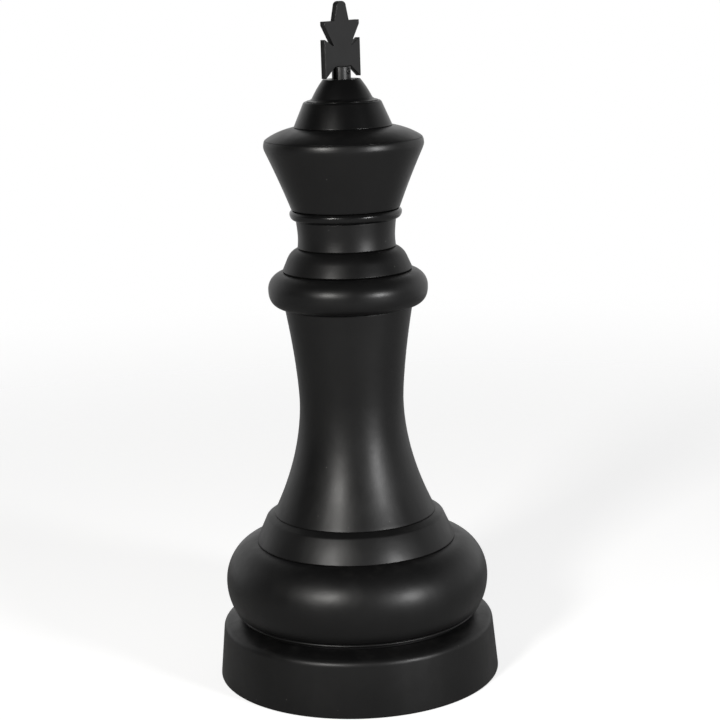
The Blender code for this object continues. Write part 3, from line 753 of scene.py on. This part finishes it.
def shoulder_section():
    bottom = CUP_TOP[1] + GAP
    section = [(HEAD_HOLE, SHOULDER_TOP[1])]
    section += swell(SHOULDER_TOP, SHOULDER_SWELL, SHOULDER_EDGE, 18)
    section += [SHOULDER_FOOT, (CUP_TOP[0], bottom), (HEAD_HOLE, bottom)]
    return section


def lower_dome_section():
    foot = (SHOULDER_TOP[0] - LOWER_DOME_INSET, SHOULDER_TOP[1] + GAP)
    return hollow([LOWER_DOME_TOP, LOWER_DOME_EDGE, foot], HEAD_HOLE)


def upper_dome_section():
    outer = swell(CAP_TOP, CAP_SWELL, CAP_FOOT, 20)
    outer += [CAP_FLANGE_TOP, CAP_FLANGE, (CAP_FLANGE[0], LOWER_DOME_TOP[1] + GAP)]
    return hollow(outer, CAP_HOLE, CAP_RING, CAP_WALL)


# node, outline, body, rounding of its corners in millimetres, roughness, index of refraction
SECTIONS = (
    ("plinth", plinth_section, "base", 0.9, 0.42, 1.39),
    ("base_bulb", bulb_section, "base", 0.9, 0.42, 1.39),
    ("step_collar", step_section, "base", 1.6, 0.42, 1.39),
    ("stem", stem_section, "base", 1.0, 0.42, 1.39),
    ("collar_ring", ring_section, "base", 0.8, 0.39, 1.39),
    ("collar_dome", dome_section, "base", 1.0, 0.42, 1.31),
    ("neck", neck_section, "head", 1.0, 0.39, 1.39),
    ("neck_bead", bead_section, "head", 0.6, 0.24, 1.39),
    ("crown_cup", cup_section, "head", 0.9, 0.37, 1.39),
    ("crown_shoulder", shoulder_section, "head", 0.9, 0.36, 1.39),
    ("lower_dome", lower_dome_section, "head", 1.0, 0.30, 1.33),
    ("upper_dome", upper_dome_section, "cap", 0.9, 0.30, 1.33),
)


# ---------------------------------------------------------------- pieces

def fit(piece, node, body, material):
    """Gives a piece its material and has it stand in for its CAD node."""
    piece.data.materials.clear()
    piece.data.materials.append(material)
    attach(piece, body)
    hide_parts(node)


def make_sections():
    for k, (node, outline, body, softness, roughness, ior) in enumerate(SECTIONS):
        section = soften(outline(), softness * MM)
        piece = turned(f"{node}_turned", section, wander=WANDER, seed=3.7 * k)
        coating = satin_black(f"{node}_satin_black", 1.3 * k + 0.4, roughness, ior)
        fit(piece, node, body, coating)


def make_rod():
    """The rod, with a groove for its retaining ring and a slot for the cross's tang."""
    groove_radius, groove_bottom, groove_top = RING_GROOVE
    section = [
        (0, ROD_TOP),
        (ROD_RADIUS, ROD_TOP),
        (ROD_RADIUS, CAP_TOP[1] - groove_top),
        (groove_radius, CAP_TOP[1] - groove_top),
        (groove_radius, CAP_TOP[1] - groove_bottom),
        (ROD_RADIUS, CAP_TOP[1] - groove_bottom),
        (ROD_RADIUS, ROD_BOTTOM),
        (0, ROD_BOTTOM),
    ]
    section = soften(section, ROD_SOFTNESS, count=4)
    rod = turned("finial_rod_turned", section, ROD_STEPS, closed=False)
    slot = CROSS_THICKNESS / 2 + GAP
    beyond = 20 * MM
    shank_end, head_foot, _ = SCREW_REACH
    front = (0, -beyond, SCREW_Z)
    cut(rod, [
        box_cutter((-beyond, -slot, TANG_BOTTOM - GAP), (beyond, slot, ROD_TOP + 5 * MM)),
        bar_cutter(SCREW_BORE, front, (0, -shank_end + 0.5 * MM, SCREW_Z)),
        bar_cutter(SCREW_COUNTERBORE, front, (0, GAP - head_foot, SCREW_Z)),
    ])
    fit(rod, "finial_rod", "finial", mottled("rod_painted_steel", 21.0, **PAINTED_STEEL))


def cross_outline():
    """The cross's sharp outline, anticlockwise from the foot of the tang."""
    half = [
        (TANG_HALF_WIDTH, TANG_BOTTOM),
        (TANG_HALF_WIDTH, CROSS_BOTTOM),
        (16.8 * MM, CROSS_BOTTOM),
        (37.3 * MM, 814.8 * MM),
        (37.3 * MM, 866.2 * MM),
        (16.8 * MM, 855.2 * MM),
        (36.5 * MM, 883.6 * MM),
        (36.5 * MM, 888.9 * MM),
        (14.8 * MM, 888.9 * MM),
    ]
    half += ellipse_arc((0, 908.2 * MM), (9.4 * MM, CROSS_TOP - 908.2 * MM), 0, 90, 10)
    return half + [(-x, z) for x, z in half[-2::-1]]


def make_cross():
    """The flat cross, cut from plate, with a peg on top and a tang in the rod's slot."""
    outline = soften_plate(cross_outline(), CROSS_CORNER)
    cross = plate("finial_cross_plate", outline, CROSS_THICKNESS, CROSS_EDGE)
    paint = mottled("cross_painted_steel", 25.0, **PAINTED_STEEL)
    fit(cross, "finial_cross", "finial", paint)


def make_screw():
    """The screw through rod and tang, turned upright and then laid with its head in front."""
    shank_end, head_foot, head_top = SCREW_REACH
    inwards, below = SCREW_HEAD_BEVEL
    section = [
        (0, head_top),
        (SCREW_HEAD - inwards, head_top),
        (SCREW_HEAD, head_top - below),
        (SCREW_HEAD, head_foot),
        (SCREW_SHANK, head_foot),
        (SCREW_SHANK, shank_end),
        (0, shank_end),
    ]
    section = soften(section, SCREW_SOFTNESS, count=3)
    screw = turned("cross_screw_turned", section, SCREW_STEPS, closed=False)
    across_flats, socket_bottom = SCREW_SOCKET
    above = (0, 0, head_top + 2 * MM)
    cut(screw, [bar_cutter(across_flats / math.sqrt(3), (0, 0, socket_bottom), above, sides=6)])
    screw.data.transform(Matrix.Translation((0, 0, SCREW_Z)) @ Matrix.Rotation(math.pi / 2, 4, "X"))
    paint = mottled("screw_painted_steel", 29.0, **PAINTED_STEEL)
    fit(screw, "cross_screw", "finial", paint)


def dress_inner_nodes():
    """Better materials for the CAD nodes that stay."""
    seed = INNER_SEED
    for slot, settings, nodes in INNER_NODES:
        for node in nodes:
            material = mottled(f"{node}_{slot}", seed, **settings)
            seed += INNER_SEED_STEP
            for material_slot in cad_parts[node].material_slots:
                material_slot.material = material


# ---------------------------------------------------------------- studio

def towards_camera(azimuth, elevation):
    """Unit vector, turned from the camera's direction to the right by azimuth degrees."""
    a, e = math.radians(azimuth), math.radians(elevation)
    flat = Vector((math.sin(a) * math.cos(e), -math.cos(a) * math.cos(e), math.sin(e)))
    return Matrix.Rotation(-CAMERA_TURN, 3, "Z") @ flat


def make_softbox(name, azimuth, elevation, aim, power, colour):
    """A rectangular light that faces the object's axis at the height aim."""
    lamp = bpy.data.lights.new(name, "AREA")
    lamp.shape = "RECTANGLE"
    lamp.size, lamp.size_y = SOFTBOX_SIZE
    lamp.energy = power
    lamp.color = colour
    softbox = add_object(name, lamp)
    way = towards_camera(azimuth, elevation)
    softbox.location = Vector((0, 0, aim)) + way * SOFTBOX_DISTANCE
    softbox.rotation_mode = "QUATERNION"
    softbox.rotation_quaternion = (-way).to_track_quat("-Z", "Y")


def floor_paper():
    """White paper that glows for the camera's rays only and clears away from the object."""
    look = Look("floor_paper")
    values = {
        "Base Color": (FLOOR_ALBEDO, FLOOR_ALBEDO, FLOOR_ALBEDO, 1),
        "Roughness": 0.9,
        "Specular IOR Level": 0.1,
        "Emission Color": (1, 1, 1, 1),
        "Emission Strength": look.math("MULTIPLY", look.camera_ray(), FLOOR_GLOW),
    }
    for name, value in values.items():
        look.put(look.shader.inputs[name], value)
    length = look.add("ShaderNodeVectorMath", "LENGTH")
    look.put(length.inputs[0], look.place)
    fade = look.span(length.outputs["Value"], *FLOOR_FADE)
    clear = look.add("ShaderNodeBsdfTransparent").outputs[0]
    paper = look.mix_shaders(fade, look.shader.outputs[0], clear)
    look.put(look.tree.nodes["Material Output"].inputs["Surface"], paper)
    return look.material


def make_floor():
    """A flat disc, in rings that are closest together under the object."""
    verts, faces = [(0, 0, 0)], []
    for j in range(1, FLOOR_RINGS + 1):
        radius = FLOOR_RADIUS * (j / FLOOR_RINGS) ** 2
        angles = [2 * math.pi * k / FLOOR_STEPS for k in range(FLOOR_STEPS)]
        verts += [(radius * math.cos(a), radius * math.sin(a), 0) for a in angles]
    for k in range(FLOOR_STEPS):
        m = (k + 1) % FLOOR_STEPS
        faces.append((0, 1 + k, 1 + m))
        for j in range(FLOOR_RINGS - 1):
            a, b = 1 + j * FLOOR_STEPS, 1 + (j + 1) * FLOOR_STEPS
            faces.append((a + k, b + k, b + m, a + m))
    floor = smooth_object("studio_floor", verts, faces)
    for polygon in floor.data.polygons:
        if polygon.normal.z < 0:
            polygon.flip()
    floor.data.materials.append(floor_paper())
    floor.location = (0, 0, FLOOR_Z)


def make_world():
    """Lights the object white from behind up to mid height, and darkly from the camera's side
    and overhead.  The camera itself sees plain white."""
    world = bpy.data.worlds.new("studio")
    bpy.context.scene.world = world
    world.use_nodes = True
    graph = Graph(world.node_tree)
    graph.tree.nodes.clear()

    way = graph.add("ShaderNodeTexCoord").outputs["Generated"]
    dot = graph.add("ShaderNodeVectorMath", "DOT_PRODUCT")
    graph.put(dot.inputs[0], way)
    dot.inputs[1].default_value = towards_camera(WORLD_BACK_AZIMUTH, 0)
    away = dot.outputs["Value"]
    height = graph.axis(way, "Z")

    backdrop = graph.math("MULTIPLY", graph.span(away, *BACKDROP_SPAN),
                          graph.span(height, *BACKDROP_HEIGHTS, 1.0, 0.0))
    sky = graph.math("ADD", graph.math("MULTIPLY", backdrop, WORLD_BACK), WORLD_FRONT)
    ground = graph.span(away, *GROUND_SPAN, WORLD_BELOW, WORLD_BELOW_BACK)
    below = graph.span(height, *HORIZON, 1.0, 0.0)
    sky = graph.math("MULTIPLY", sky, graph.math("SUBTRACT", 1.0, below))
    light = graph.math("ADD", sky, graph.math("MULTIPLY", below, ground))

    lit = graph.add("ShaderNodeBackground")
    graph.put(lit.inputs["Strength"], light)
    seen = graph.add("ShaderNodeBackground")
    seen.inputs["Color"].default_value = (1, 1, 1, 1)
    seen.inputs["Strength"].default_value = 1.0
    blend = graph.mix_shaders(graph.camera_ray(), lit.outputs[0], seen.outputs[0])
    graph.put(graph.add("ShaderNodeOutputWorld").inputs["Surface"], blend)


def make_camera():
    """The photograph's camera, set out before the cross's front and then swung round the axis."""
    pitch, roll, yaw = CAMERA_PITCH, CAMERA_ROLL, CAMERA_YAW
    forward = Vector((math.sin(yaw) * math.cos(pitch), math.cos(yaw) * math.cos(pitch), -math.sin(pitch)))
    level = Vector((math.cos(yaw), -math.sin(yaw), 0))
    upright = level.cross(forward)
    right = math.cos(roll) * level + math.sin(roll) * upright
    up = math.cos(roll) * upright - math.sin(roll) * level
    turn = Matrix((right, up, -forward)).transposed().to_4x4()
    data = bpy.data.cameras.new("camera")
    data.sensor_width = CAMERA_SENSOR
    data.lens = CAMERA_LENS
    camera = add_object("camera", data)
    camera.matrix_world = (
        Matrix.Rotation(-CAMERA_TURN, 4, "Z")
        @ Matrix.Translation((0, -CAMERA_DISTANCE, CAMERA_HEIGHT))
        @ turn
    )
    bpy.context.scene.camera = camera


make_sections()
make_rod()
make_cross()
make_screw()
dress_inner_nodes()
make_floor()
make_world()
for settings in SOFTBOXES:
    make_softbox(*settings)
make_camera()
bpy.context.scene.view_settings.view_transform = "Standard"
